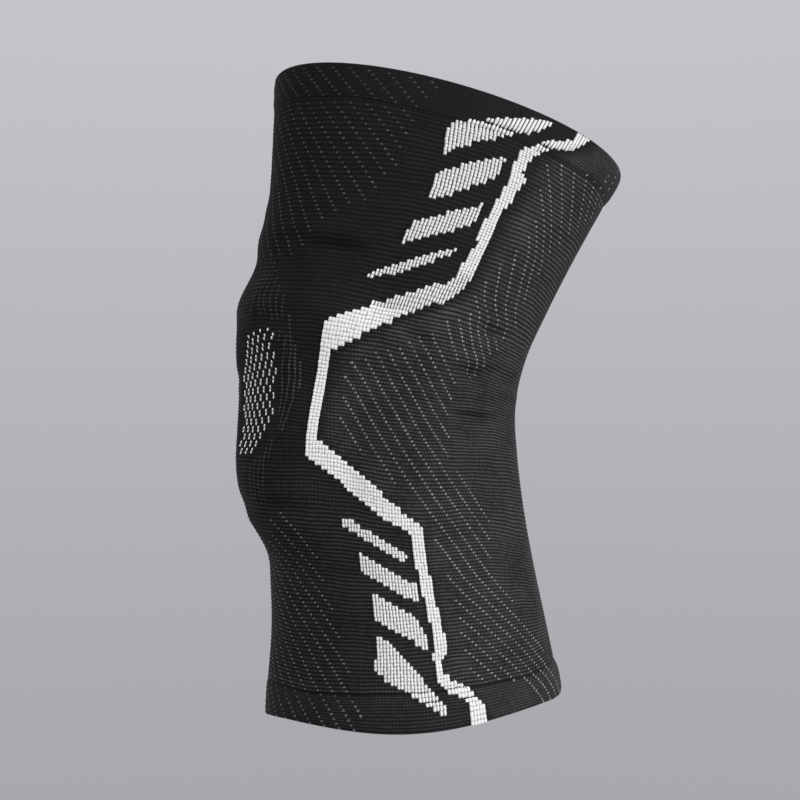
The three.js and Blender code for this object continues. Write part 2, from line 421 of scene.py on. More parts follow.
# Lines across the thigh: the edge of their field, as station and angle, and their tones at stations
THIGH_EDGE = np.array([
    [174.5, 15.5],
    [183.0, 22.5],
    [187.7, 26.0],
    [191.3, 31.5],
    [198.3, 42.0],
    [202.7, 46.0],
    [208.5, 48.5],
    [214.3, 51.2],
    [227.5, 53.0],
    [240.0, 57.0],
    [253.0, 62.0],
])
THIGH_TONES = np.array([
    [228.0, 0.19],
    [232.0, 0.13],
    [240.5, 0.09],
    [242.0, 0.11],
])

# Where those lines run: line 0's angle at one station, the angle between lines, and the slope in degrees for
# each millimetre, which grows with the angle past a certain one
THIGH_LINES = range(-14, 14)
THIGH_STATION = 210.0
THIGH_START = 4.8
THIGH_SPACING = 7.1
THIGH_SLOPE = 0.64
THIGH_SLOPE_GROWTH = 0.0047
THIGH_GROWTH_FROM = 4.5

# The same lines on the thigh hem, and the space kept clear at its seam and edge
HEM_STATION = 248.0
HEM_START = 32.5
HEM_SPACING = 6.7
HEM_SLOPE = -0.9
HEM_STEP = 1.56
HEM_SEAM_CLEAR = 1.0
HEM_EDGE_CLEAR = 2.0

# Lines across the shin: the edge of their field, as station and angle, then the number of the line on the
# front at each station, the angle that a count of lines spans, and their tones at stations
SHIN_EDGE = np.array([
    [0.0, 43.0],
    [19.0, 37.3],
    [35.0, 32.6],
    [47.0, 29.5],
    [57.5, 27.0],
    [67.0, 25.0],
    [77.0, 23.5],
    [84.6, 20.8],
    [90.0, 14.0],
])
SHIN_COUNT = np.array([
    [0.0, 12.65],
    [20.0, 10.43],
    [30.0, 9.32],
    [50.0, 6.77],
    [60.0, 5.35],
    [70.0, 4.1],
    [80.0, 3.5],
    [90.0, 2.4],
])
SHIN_FAN = np.array([
    [0.0, 0.0],
    [1.0, 7.6],
    [2.0, 15.0],
    [3.0, 22.0],
    [4.0, 28.7],
    [5.0, 34.9],
    [6.0, 40.7],
    [7.0, 46.2],
])
# The tones dip where painted shadow falls at the bottom hem's seam
SHIN_TONES = np.array([
    [9.5, 0.46],
    [11.0, 0.21],
    [12.5, 0.21],
    [15.0, 0.52],
])

# The lines' numbers, their lowest station, and their highest at the front, which climbs with each degree
SHIN_LINES = range(-6, 21)
SHIN_LOWEST = 0.5
SHIN_HIGHEST = 73.0
SHIN_HIGHEST_CLIMB = 1.05

# Lines behind the zigzag over the thigh: angle at station 160, and the stations of their two ends
BACK_LINES = [
    (79.0, 144.0, 158.5),
    (84.8, 138.5, 161.5),
    (89.8, 139.5, 165.0),
    (94.2, 143.5, 171.4),
    (99.0, 150.8, 178.7),
    (104.6, 153.7, 188.5),
    (110.7, 158.5, 196.0),
    (117.0, 164.3, 202.4),
    (121.5, 175.2, 211.6),
    (126.3, 190.0, 223.9),
    (131.3, 201.0, 233.7),
    (138.2, 206.8, 236.4),
    (145.0, 212.2, 236.8),
    (152.6, 215.8, 240.0),
    (158.8, 221.0, 241.0),
    (165.5, 226.0, 246.0),
    (172.5, 232.0, 250.5),
]

# How far those lines' angle drifts from that at station 160: station, degrees
BACK_DRIFT = np.array([
    [138.0, 11.0],
    [143.0, 9.0],
    [146.0, 7.2],
    [150.0, 5.0],
    [154.0, 2.6],
    [160.0, 0.0],
    [165.0, -0.6],
    [170.0, -4.0],
    [173.0, -5.6],
    [180.0, -6.8],
    [188.0, -8.2],
    [196.0, -9.5],
    [202.0, -12.5],
    [210.0, -17.0],
    [220.0, -23.0],
    [233.0, -30.5],
    [238.0, -32.6],
    [250.0, -34.5],
])
BACK_TONE = 0.75

# Lines behind the knee and down the calf's side: how far they drift from their angle at station 120, the two
# edges of their field as station and angle, and their tones at stations
SIDE_DRIFT = np.array([
    [0.0, 93.0],
    [10.0, 86.0],
    [15.0, 82.0],
    [40.0, 58.0],
    [50.0, 48.9],
    [57.5, 42.9],
    [70.0, 35.3],
    [80.0, 28.8],
    [86.0, 24.5],
    [104.0, 11.8],
    [120.0, 0.0],
    [150.0, -22.5],
    [160.0, -28.5],
])
SIDE_FRONT_EDGE = np.array([
    [0.0, 112.0],
    [12.0, 104.0],
    [15.0, 84.0],
    [25.0, 82.0],
    [49.5, 80.5],
    [61.5, 78.5],
    [70.0, 77.0],
    [80.0, 74.0],
    [91.0, 67.0],
    [100.0, 56.0],
    [109.0, 43.5],
    [114.0, 38.0],
    [119.0, 36.8],
    [137.0, 39.5],
    [142.5, 48.5],
    [146.0, 59.0],
    [150.0, 66.0],
    [155.0, 75.0],
])
SIDE_BACK_EDGE = np.array([
    [0.0, 140.0],
    [10.0, 133.0],
    [15.0, 130.0],
    [22.0, 126.0],
    [31.0, 120.0],
    [41.0, 112.0],
    [51.0, 105.0],
    [60.0, 100.5],
    [68.0, 102.0],
    [80.0, 103.5],
    [90.0, 96.0],
    [100.0, 88.5],
    [104.0, 84.8],
    [119.0, 84.2],
    [132.5, 86.0],
    [146.0, 90.0],
    [150.0, 90.5],
])
SIDE_TONES = np.array([
    [60.0, 0.78],
    [110.0, 0.62],
])
SIDE_LINES = range(-12, 10)
SIDE_START = 43.3
SIDE_SPACING = 6.1
SIDE_SEAM_CLEAR = 0.6
SIDE_HEM_START = 1.0
SIDE_HEM_STEP = 1.3

# Fine lines round the kneecap's ring, as angles and stations along each line
RING_LINES = [
    [(0.0, 173.5), (0.0, 150.0)],
    [(4.0, 171.2), (2.8, 167.0), (2.6, 159.0), (6.0, 150.0)],
    [(6.4, 168.5), (6.0, 158.0), (9.6, 149.5)],
    [(9.8, 165.5), (10.2, 157.0), (12.6, 149.0)],
    [(13.2, 162.0), (13.8, 156.0), (15.4, 149.0)],
    [(17.0, 157.5), (17.6, 150.0)],
    [(20.5, 152.0), (22.0, 140.0), (20.3, 130.0), (19.5, 125.0), (16.5, 114.5)],
    [(23.6, 142.0), (23.0, 133.0), (22.0, 124.0), (18.2, 114.5)],
    [(25.0, 137.0), (24.3, 128.0)],
    [(19.6, 144.0), (19.0, 138.0), (17.2, 133.0), (17.0, 126.0), (15.8, 119.5)],
    [(17.0, 146.0), (16.8, 141.5)],
    [(13.8, 112.0), (13.0, 104.5)],
    [(11.0, 109.0), (10.4, 98.0), (8.8, 90.0)],
    [(8.2, 107.0), (7.8, 94.0), (5.0, 86.0)],
    [(5.0, 105.0), (5.6, 94.0), (3.2, 89.0), (2.6, 86.0)],
    [(2.2, 104.0), (2.8, 93.0), (0.4, 87.0)],
]
RING_TONE = 0.16

# White flecks on the kneecap, a brick repeat of pairs of stitches: station, and the angles of the two edges
# of their field
FLECK_EDGES = np.array([
    [107.0, -9.5, 1.0],
    [110.0, -10.5, 6.5],
    [114.0, -11.5, 9.3],
    [119.0, -12.0, 11.6],
    [124.0, -12.4, 12.8],
    [130.0, -12.6, 13.2],
    [134.0, -12.0, 14.4],
    [137.0, -8.0, 14.4],
    [141.0, -4.0, 14.0],
    [146.0, -0.5, 13.8],
])

# How far a row climbs for each degree, and how far each pair leans: station, then millimetres or degrees
FLECK_SLANTS = np.array([
    [108.0, 0.05],
    [137.0, 0.07],
    [142.0, 0.14],
    [146.0, 0.18],
])
FLECK_LEANS = np.array([
    [106.0, 0.25],
    [112.0, 0.0],
    [117.0, -0.2],
    [126.0, 0.0],
    [134.0, 0.25],
    [146.0, 0.32],
])

# The repeat in millimetres and degrees; from the top station up, a row has lower stitches only
FLECK_ROWS = 16
FLECK_ROW_STEP = 2.45
FLECK_COLUMNS = range(-5, 6)
FLECK_SPACING = 4.3
FLECK_START = 0.9
FLECK_BASE = 107.6
FLECK_TOP = 143.0
FLECK_PAIR_HALF = 0.55
FLECK_UPPER_TONE = 1.3
FLECK_LOWER_TONE = 1.9

# Colours of the yarns, and how they take the light
# Black cloth: the crests' lighter colour is a painted sheen, and crests and grooves are both paler behind
# the zigzag
BLACK_GROOVE = (0.0037, 0.0037, 0.0041)
BLACK_GROOVE_BEHIND = (0.0075, 0.0075, 0.0079)
BLACK_CREST_SHEEN = (0.0142, 0.0142, 0.0147)
BLACK_CREST_SHEEN_BEHIND = (0.070, 0.070, 0.072)
# Grey painted shade in the grooves between the white stitches
WHITE_GROOVE_SHADE = (0.25, 0.25, 0.255)
WHITE_CROWN = (0.82, 0.82, 0.82)
FLECK_CROWN = (0.95, 0.95, 0.95)
GREY_GROOVE = (0.008, 0.008, 0.009)
GREY_CROWN = (0.27, 0.27, 0.275)
WHITE_ROUGHNESS = 0.75
GREY_ROUGHNESS = 0.8
BLACK_FINISH = {
    "Roughness": 0.75,
    "Specular IOR Level": 0.10,
    "Sheen Weight": 0.06,
    "Sheen Roughness": 0.35,
    "Sheen Tint": (0.8, 0.8, 0.82, 1.0),
}
YARN_FINISH = {
    "Specular IOR Level": 0.20,
    "Sheen Weight": 0.08,
}

# The black yarn's look: how much of each stitch varies, how patchy the painted sheen on its crests is, how
# high it stands
HEM_RIB_SHARE = 0.85
HEM_GROUND = 0.05
PLAIN_SHARE = 0.55
KNOT_SHARE = 0.74
CREST_POWER = 1.3
SHEEN_PATCH_GAIN = 1.6
SHEEN_PATCH_LEVEL = -0.6
STITCH_BUMP_SHARE = 0.4
BUMP_DISTANCE = 0.00012

# The white and grey yarn's fibres: how much they vary, and their level
FIBRE_GAIN = 0.30
FIBRE_LEVEL = 0.82

# Noise over the yarn: turns for each metre, and detail
BLACK_FIBRE = (1500.0, 3.0)
BLACK_CLOUD = (70.0, 2.0)
BLACK_PATCHES = (520.0, 1.0)
YARN_FIBRE = (1700.0, 3.0)

# Numbers of the mix node's colour sockets
MIX_COLOUR_INPUTS = (6, 7)
MIX_COLOUR_OUTPUT = 2

# The stage in metres: a wide pale bowl, darker towards its floor
FLOOR_Z = -0.62
BOWL_MIDDLE = 0.0005
BOWL_RADIUS = 2.6
BOWL_CORNER = 0.9
BOWL_TOP = 2.4
BOWL_SIDES = 96
BOWL_CORNER_ROWS = 13
BACKDROP_LOW = (0.376, 0.381, 0.407)
BACKDROP_HIGH = (0.552, 0.558, 0.591)
BACKDROP_LOW_Z = -0.74
BACKDROP_HIGH_Z = 0.74
WORLD_COLOUR = (0.22, 0.22, 0.225, 1.0)

# Soft boxes: name, angle round the leg, elevation, distance and size in metres, power in watts
SOFT_LIGHTS = [
    ("key_light", 122.0, 5.0, 1.3, 0.7, 16.3),
    ("front_light", 32.0, 35.0, 1.4, 0.9, 14.0),
    ("back_light", 225.0, 30.0, 1.4, 0.9, 10.0),
]

# The photo's camera
CAMERA_AZIMUTH = 60.0
CAMERA_ELEVATION = 0.0
CAMERA_DISTANCE = 0.720
CAMERA_TARGET = (0.00498, 0.00863, 0.0)
LENS = 74.8
SENSOR = 36.0


# The sleeve's surface
def smoothstep(low, high, value):
    share = np.clip((value - low) / (high - low), 0.0, 1.0)
    return share * share * (3 - 2 * share)


def table_at(table, value, column=1):
    """One column of a table at a value of its first column."""
    return np.interp(value, table[:, 0], table[:, column])


def swell(value):
    return np.where(np.abs(value) < 1, 0.5 + 0.5 * np.cos(np.pi * value), 0.0)


def section_stations():
    middle = (SECTIONS[:, 0:2] + SECTIONS[:, 2:4]) / 2
    steps = np.linalg.norm(np.diff(middle, axis=0), axis=1)
    return np.concatenate([[0.0], np.cumsum(steps)])


STATIONS = section_stations()
LENGTH = STATIONS[-1]


def section_slopes():
    spans = np.diff(STATIONS)[:, None]
    rises = np.diff(SECTIONS, axis=0) / spans
    slopes = np.empty_like(SECTIONS)
    slopes[0] = rises[0]
    slopes[-1] = rises[-1]
    slopes[1:-1] = (rises[:-1] * spans[1:] + rises[1:] * spans[:-1]) / (spans[:-1] + spans[1:])
    return slopes


SLOPES = section_slopes()


def sections_at(station):
    """One smooth curve through each column of the section table."""
    low = np.clip(np.searchsorted(STATIONS, station) - 1, 0, len(STATIONS) - 2)
    span = (STATIONS[low + 1] - STATIONS[low])[..., None]
    t = (station - STATIONS[low])[..., None] / span
    return (
        (1 + 2 * t) * (1 - t) ** 2 * SECTIONS[low]
        + t * (1 - t) ** 2 * span * SLOPES[low]
        + t * t * (3 - 2 * t) * SECTIONS[low + 1]
        + t * t * (t - 1) * span * SLOPES[low + 1]
    )


def relief(angle, station, z, arc):
    """How far the knee pushes the knit out at one place."""
    low = np.clip(np.searchsorted(KNEECAP[:, 0], z) - 1, 0, len(KNEECAP) - 2)
    share = smoothstep(KNEECAP[low, 0], KNEECAP[low + 1, 0], z)[..., None]
    row = KNEECAP[low] * (1 - share) + KNEECAP[low + 1] * share
    dome = row[..., 1] * (1 - smoothstep(row[..., 2], row[..., 3], arc))
    reach = np.hypot(arc / RING_HALF_WIDTH, (z - RING_MIDDLE_Z) / RING_HALF_HEIGHT)
    ring = RING_RISE * np.exp(-((((reach - 1) * RING_HALF_WIDTH) / RING_SOFTNESS) ** 2))
    creases = np.zeros_like(dome)
    for rows, turned in ((CREASES, np.abs(angle)), (LEFT_CREASES, angle)):
        for at_station, at_angle, half_angle, half_height, rise in rows:
            along = swell((station - at_station) / half_height)
            creases += rise * along * swell((turned - at_angle) / half_angle)
    return dome + ring + creases


def course_wave(angle, station):
    """How far the courses stray up or down, fading out at both hems."""
    inside = np.minimum(station, LENGTH - station)
    stray = 0.0
    for height, round_turns, up_turns, phase in COURSE_WAVES:
        turns = angle / 360.0 * round_turns + station * MM * up_turns + phase
        stray = stray + height * np.sin(math.tau * turns)
    return stray * smoothstep(0.0, WAVE_EDGE, inside)


def surface(angle, station, offset):
    """Points in metres at degrees round from the front line, millimetres up, and millimetres out."""
    angle, station, offset = np.broadcast_arrays(angle, station, offset)
    angle = (angle + 180.0) % 360.0 - 180.0
    station = station + course_wave(angle, station)
    section = sections_at(station)
    front = section[..., 0:2]
    back = section[..., 2:4]
    half_width = section[..., 4]
    middle = (front + back) / 2
    half_depth = np.linalg.norm(back - front, axis=-1) / 2
    to_back = (back - front) / (2 * half_depth[..., None])
    turn = np.radians(angle)
    outward = np.stack([np.sin(turn) / half_width, np.cos(turn) / half_depth], -1)
    outward /= np.linalg.norm(outward, axis=-1, keepdims=True)
    z = middle[..., 1] - to_back[..., 1] * half_depth * np.cos(turn)
    push = offset + relief(angle, station, z, np.abs(turn) * half_width)
    side = half_width * np.sin(turn) + outward[..., 0] * push
    depth = -(half_depth * np.cos(turn) + outward[..., 1] * push)
    y = middle[..., 0] + to_back[..., 0] * depth
    droop = sum(drop * swell((angle - at) / half_angle) for at, half_angle, drop in EDGE_DROOPS)
    droop = droop * (1 - smoothstep(0.0, EDGE_DROOP_REACH, station))
    z = middle[..., 1] + to_back[..., 1] * depth - droop
    return np.stack([side, y, z], -1) * MM


def hem_stand(angle):
    """How much further the hems stand out behind the leg than in front of it."""
    return 1 + BACK_STAND * smoothstep(BACK_STAND_FROM, BACK_STAND_TO, from_front(angle))


def cloth_rise(angle, station):
    """How far the outer face stands out: on the hems, and on the tube drawn in beside them."""
    into_hem = np.maximum(BOTTOM_WELT_HEIGHT - station, station - LENGTH + TOP_WELT_HEIGHT)
    hem_height = np.where(station < LENGTH / 2, BOTTOM_WELT_HEIGHT, TOP_WELT_HEIGHT)
    standing = WELT_PROFILE[:WELT_STAND_ROWS]
    on_hem = np.interp(into_hem / hem_height, standing[:, 0], standing[:, 1])
    on_tube = SEAM_DRAW * (1 - smoothstep(0.0, SEAM_DRAW_REACH, -into_hem))
    return np.where(into_hem > 0, on_hem, on_tube) * hem_stand(angle)


def course_at(station):
    return table_at(COURSES, station)


def station_at(course):
    return np.interp(course, COURSES[:, 1], COURSES[:, 0])


def wale_at(angle):
    return table_at(HALF_WALES, angle)


def angle_at(wale):
    return np.interp(wale, HALF_WALES[:, 1], HALF_WALES[:, 0])


def lean_at(station):
    return table_at(LEAN, station)


def course_stray(angle, level):
    """How far a course strays from its level at one angle."""
    turned = from_front(angle)
    at_side = table_at(COURSE_STRAY, level)
    at_back = table_at(COURSE_STRAY, level, 2)
    return (
        at_side * smoothstep(SIDE_STRAY_FROM, SIDE_STRAY_TO, turned)
        + at_back * smoothstep(BACK_STRAY_FROM, BACK_STRAY_TO, turned)
    )


def strayed(angle, level):
    return level + course_stray(angle, level)


def levelled(angle, station):
    """The level of the course that strays to a station."""
    level = station
    for _ in range(STRAY_STEPS):
        level = station - course_stray(angle, level)
    return level


def along_line(line_angle, low, high):
    """Angles and stations where a line crosses the middles of the courses between two stations."""
    first = math.floor(course_at(low - STRAY_LIMIT))
    last = math.ceil(course_at(high + STRAY_LIMIT))
    level = station_at(np.arange(first, last) + 0.5)
    station = level
    for _ in range(STRAY_STEPS):
        station = strayed(line_angle(station), level)
    within = (low <= station) & (station <= high)
    return list(zip(line_angle(station)[within], station[within]))


def from_front(angle):
    """Degrees from the front line, the same on both sides."""
    return np.abs((angle + 180.0) % 360.0 - 180.0)


def paleness(angle, station):
    """How pale the crests are, a painted sheen: darker in front of the zigzag, with a pale row above the
    bottom hem and painted shade along the seams.
    """
    turned = from_front(angle)
    rungs = np.array(STRIPES["zigzag_stripe"])
    border = np.interp(station, rungs[:, 3], rungs[:, 2]) + table_at(ZONE_BORDERS, station)
    blend = table_at(ZONE_BORDERS, station, 2)
    behind = smoothstep(border - blend, border + blend, turned)
    front_level = table_at(PALENESS, station)
    back_level = table_at(PALENESS, station, 2)
    from_row = (station - table_at(SEAM_ROW, turned)) / SEAM_ROW_HALF_HEIGHT
    row_end = SEAM_ROW[-1, 0]
    row = SEAM_ROW_PALENESS * np.exp(-from_row * from_row)
    row = row * (1 - smoothstep(row_end, row_end + SEAM_ROW_FADE, turned))
    pale = front_level + (back_level - front_level) * behind + row
    # Painted shade along the seams
    for at_station, half_height, lost in SEAM_SHADES:
        pale = pale * (1 - lost * np.exp(-(((station - at_station) / half_height) ** 2)))
    return pale


def inside(low, high, value):
    rising = smoothstep(low - FIELD_BLEND, low + FIELD_BLEND, value)
    return rising * (1 - smoothstep(high - FIELD_BLEND, high + FIELD_BLEND, value))


def knotted(angle, station):
    """1 in the fields of dotted lines, and 0 elsewhere."""
    turned = from_front(angle)
    lines = np.array(BACK_LINES)
    back_front = np.interp(station, lines[:, 2], back_angle(lines[:, 0], lines[:, 2]))
    lower_ends = lines[np.argsort(lines[:, 1])]
    back_back = np.interp(station, lower_ends[:, 1], back_angle(lower_ends[:, 0], lower_ends[:, 1]))
    in_back = inside(back_front, back_back, turned) * (station > lines[:, 1].min())
    in_side = inside(table_at(SIDE_FRONT_EDGE, station), table_at(SIDE_BACK_EDGE, station), turned)
    in_side = in_side * (station < SIDE_BACK_EDGE[-1, 0])
    front_edge = np.where(station < LENGTH / 2, table_at(SHIN_EDGE, station), table_at(THIGH_EDGE, station))
    in_front = 1 - smoothstep(front_edge - FIELD_BLEND, front_edge + FIELD_BLEND, turned)
    in_front = in_front * ((station < SHIN_EDGE[-1, 0]) | (station > THIGH_EDGE[0, 0]))
    return np.maximum(np.maximum(in_back, in_side), in_front)


# Meshes
def grid_faces(rows, columns, wraps):
    """Faces of a grid of points, and the row and column of each face's corners."""
    face_columns = columns if wraps else columns - 1
    row, column = np.meshgrid(np.arange(rows - 1), np.arange(face_columns), indexing="ij")
    row = row.ravel()
    column = column.ravel()
    corner_rows = np.stack([row, row, row + 1, row + 1], 1)
    corner_columns = np.stack([column, column + 1, column + 1, column], 1)
    return corner_rows * columns + corner_columns % columns, corner_rows, corner_columns


def add_piece(name, points, faces, material, nodes, numbers, chart=None):
    """A smooth mesh on the root body, with numbers at its points and chart places at its corners."""
    mesh = bpy.data.meshes.new(name)
    mesh.from_pydata(points.reshape(-1, 3).tolist(), [], faces.tolist())
    mesh.polygons.foreach_set("use_smooth", np.ones(len(faces), bool))
    for number_name, values in numbers.items():
        attribute = mesh.attributes.new(number_name, "FLOAT", "POINT")
        attribute.data.foreach_set("value", values.ravel().astype(np.float32))
    if chart is not None:
        layer = mesh.uv_layers.new(name="KnitChart")
        layer.data.foreach_set("uv", chart.reshape(-1).astype(np.float32))
    mesh.materials.append(material)
    mesh.update()
    piece = bpy.data.objects.new(name, mesh)
    bpy.context.scene.collection.objects.link(piece)
    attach(piece, "root")
    if nodes:
        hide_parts(*nodes)
    return piece


# Materials
def new_material(name):
    material = bpy.data.materials.new(name)
    material.use_nodes = True
    tree = material.node_tree
    return material, tree, tree.nodes["Principled BSDF"]


def math_node(tree, operation, first, second=None, third=None):
    node = tree.nodes.new("ShaderNodeMath")
    node.operation = operation
    for socket, value in zip(node.inputs, (first, second, third)):
        if value is None:
            continue
        if isinstance(value, (int, float)):
            socket.default_value = value
        else:
            tree.links.new(value, socket)
    return node.outputs[0]


def noise_node(tree, scale, detail):
    coordinates = tree.nodes.new("ShaderNodeTexCoord")
    noise = tree.nodes.new("ShaderNodeTexNoise")
    noise.inputs["Scale"].default_value = scale
    noise.inputs["Detail"].default_value = detail
    tree.links.new(coordinates.outputs["Object"], noise.inputs["Vector"])
    return noise.outputs["Fac"]


def attribute_node(tree, name):
    node = tree.nodes.new("ShaderNodeAttribute")
    node.attribute_name = name
    return node.outputs["Fac"]


def mix_colours(tree, factor, first, second):
    mix = tree.nodes.new("ShaderNodeMix")
    mix.data_type = "RGBA"
    tree.links.new(factor, mix.inputs[0])
    for number, colour in zip(MIX_COLOUR_INPUTS, (first, second)):
        socket = mix.inputs[number]
        if isinstance(colour, tuple):
            socket.default_value = (*colour, 1.0)
        else:
            tree.links.new(colour, socket)
    return mix.outputs[MIX_COLOUR_OUTPUT]


def bump_node(tree, height, distance, shader):
    bump = tree.nodes.new("ShaderNodeBump")
    bump.inputs["Distance"].default_value = distance
    tree.links.new(height, bump.inputs["Height"])
    tree.links.new(bump.outputs["Normal"], shader.inputs["Normal"])


def chart_wave(tree, across, along):
    """A wave from 0 to 1 over the knitting chart, with so many turns for each wale and each course."""
    chart = tree.nodes.new("ShaderNodeUVMap")
    chart.uv_map = "KnitChart"
    parts = tree.nodes.new("ShaderNodeSeparateXYZ")
    tree.links.new(chart.outputs["UV"], parts.inputs[0])
    wales = math_node(tree, "MULTIPLY", parts.outputs[0], across * math.tau)
    courses = math_node(tree, "MULTIPLY", parts.outputs[1], along * math.tau)
    wave = math_node(tree, "COSINE", math_node(tree, "ADD", wales, courses))
    return math_node(tree, "MULTIPLY_ADD", wave, -0.5, 0.5)


def set_finish(shader, finish):
    for name, value in finish.items():
        shader.inputs[name].default_value = value


def black_cloth(name, rib_share, ground):
    """Black yarn: a painted sheen on the crest along each course, broken up stitch by stitch, paler behind
    the zigzag.
    """
    material, tree, shader = new_material(name)
    rib = chart_wave(tree, 0.0, 1.0)
    plain = math_node(tree, "MULTIPLY_ADD", chart_wave(tree, 1.0, 0.0), PLAIN_SHARE, 1 - PLAIN_SHARE)
    knots = math_node(tree, "MULTIPLY_ADD", chart_wave(tree, 1.0, 0.5), KNOT_SHARE, 1 - KNOT_SHARE)
    to_knots = math_node(tree, "SUBTRACT", knots, plain)
    stitch = math_node(tree, "MULTIPLY_ADD", to_knots, attribute_node(tree, "knotted"), plain)
    fibre = noise_node(tree, *BLACK_FIBRE)
    cloud = noise_node(tree, *BLACK_CLOUD)
    crest = math_node(tree, "MULTIPLY", math_node(tree, "POWER", rib, CREST_POWER), stitch)
    patchy = math_node(tree, "ADD", cloud, noise_node(tree, *BLACK_PATCHES))
    # Patches break up the painted sheen on the crests
    sheen_patches = math_node(tree, "MULTIPLY_ADD", patchy, SHEEN_PATCH_GAIN, SHEEN_PATCH_LEVEL)
    patchy_sheen_and_fibre = math_node(tree, "MULTIPLY", crest, sheen_patches)
    shade = math_node(tree, "MULTIPLY_ADD", patchy_sheen_and_fibre, rib_share, ground)
    pale = attribute_node(tree, "paleness")
    # The crest colour is a painted sheen, paler behind the zigzag
    groove_colour = mix_colours(tree, pale, BLACK_GROOVE, BLACK_GROOVE_BEHIND)
    crest_colour = mix_colours(tree, pale, BLACK_CREST_SHEEN, BLACK_CREST_SHEEN_BEHIND)
    tree.links.new(mix_colours(tree, shade, groove_colour, crest_colour), shader.inputs["Base Color"])
    set_finish(shader, BLACK_FINISH)
    standing = math_node(tree, "MULTIPLY", stitch, STITCH_BUMP_SHARE)
    bump_node(tree, math_node(tree, "ADD", standing, fibre), BUMP_DISTANCE, shader)
    return material


def crowned_yarn(name, groove, yarn, roughness):
    """Yarn that is darker in the grooves between stitches than on their crowns: painted shade on the white
    stitches.
    """
    material, tree, shader = new_material(name)
    fibre = noise_node(tree, *YARN_FIBRE)
    patchy_sheen_and_fibre = math_node(tree, "MULTIPLY_ADD", fibre, FIBRE_GAIN, FIBRE_LEVEL)
    factor = math_node(tree, "MULTIPLY", attribute_node(tree, "crown"), patchy_sheen_and_fibre)
    tree.links.new(mix_colours(tree, factor, groove, yarn), shader.inputs["Base Color"])
    shader.inputs["Roughness"].default_value = roughness
    set_finish(shader, YARN_FINISH)
    bump_node(tree, fibre, BUMP_DISTANCE, shader)
    return material


BLACK_KNIT = black_cloth("black_rib_knit", 1.0, 0.0)
BLACK_HEM = black_cloth("black_hem_knit", HEM_RIB_SHARE, HEM_GROUND)
WHITE_YARN = crowned_yarn("white_stitch_yarn", WHITE_GROOVE_SHADE, WHITE_CROWN, WHITE_ROUGHNESS)
FLECK_YARN = crowned_yarn("white_fleck_yarn", WHITE_GROOVE_SHADE, FLECK_CROWN, WHITE_ROUGHNESS)
GREY_YARN = crowned_yarn("grey_dot_yarn", GREY_GROOVE, GREY_CROWN, GREY_ROUGHNESS)


# The black cloth
def angles_round(columns):
    """One row of angles, evenly spaced all round the leg."""
    return (np.arange(columns) * 360.0 / columns)[None, :]


def knit_cloth():
    """The ribbed tube, outside and inside, with three rows of points to each course."""
    first = course_at(BOTTOM_WELT_HEIGHT + SEAM_GAP)
    last = course_at(LENGTH - TOP_WELT_HEIGHT - SEAM_GAP)
    courses = np.linspace(first, last, int((last - first) * ROWS_PER_COURSE) + 1)
    angles = angles_round(TUBE_COLUMNS)
    crest = 0.5 - 0.5 * np.cos(math.tau * courses)
    rib = RIB_HOLLOW + (RIB_RISE - RIB_HOLLOW) * crest
    stations = strayed(angles, station_at(courses)[:, None])
    pale = paleness(angles, stations)
    strength = FRONT_RIB_SHARE + (1 - FRONT_RIB_SHARE) * pale
    rise = cloth_rise(angles, stations) + rib[:, None] * strength
    outer = surface(angles, stations, rise)
    inner_courses = np.linspace(first, last, INNER_ROWS)
    inner = surface(angles, station_at(inner_courses)[:, None], np.array([[-WALL]]))
    outer_faces, outer_rows, columns_out = grid_faces(len(courses), TUBE_COLUMNS, True)
    inner_faces, inner_rows, columns_in = grid_faces(INNER_ROWS, TUBE_COLUMNS, True)
    inner_start = len(courses) * TUBE_COLUMNS
    inner_faces = inner_faces[:, ::-1] + inner_start
    here = np.arange(TUBE_COLUMNS)
    there = (here + 1) % TUBE_COLUMNS
    top_out = (len(courses) - 1) * TUBE_COLUMNS
    top_in = inner_start + (INNER_ROWS - 1) * TUBE_COLUMNS
    low_rim = np.stack([inner_start + here, inner_start + there, there, here], 1)
    high_rim = np.stack([top_out + here, top_out + there, top_in + there, top_in + here], 1)
    wales_each = WALES / TUBE_COLUMNS
    outer_chart = np.stack([columns_out * wales_each, courses[outer_rows]], -1)
    inner_chart = np.stack([columns_in * wales_each, inner_courses[inner_rows]], -1)[:, ::-1]
    rim_wales = np.stack([here, here + 1, here + 1, here], 1) * wales_each
    low_chart = np.stack([rim_wales, np.full(rim_wales.shape, first)], -1)
    high_chart = low_chart + np.array([0.0, last - first])
    points = np.concatenate([outer.reshape(-1, 3), inner.reshape(-1, 3)])
    faces = np.concatenate([outer_faces, inner_faces, low_rim, high_rim])
    inner_zero = np.zeros(INNER_ROWS * TUBE_COLUMNS)
    numbers = {
        "paleness": np.concatenate([pale.ravel(), inner_zero]),
        "knotted": np.concatenate([knotted(angles, stations).ravel(), inner_zero]),
    }
    chart = np.concatenate([outer_chart, inner_chart, low_chart, high_chart])
    return add_piece("knit_cloth", points, faces, BLACK_KNIT, ["knit_tube"], numbers, chart)


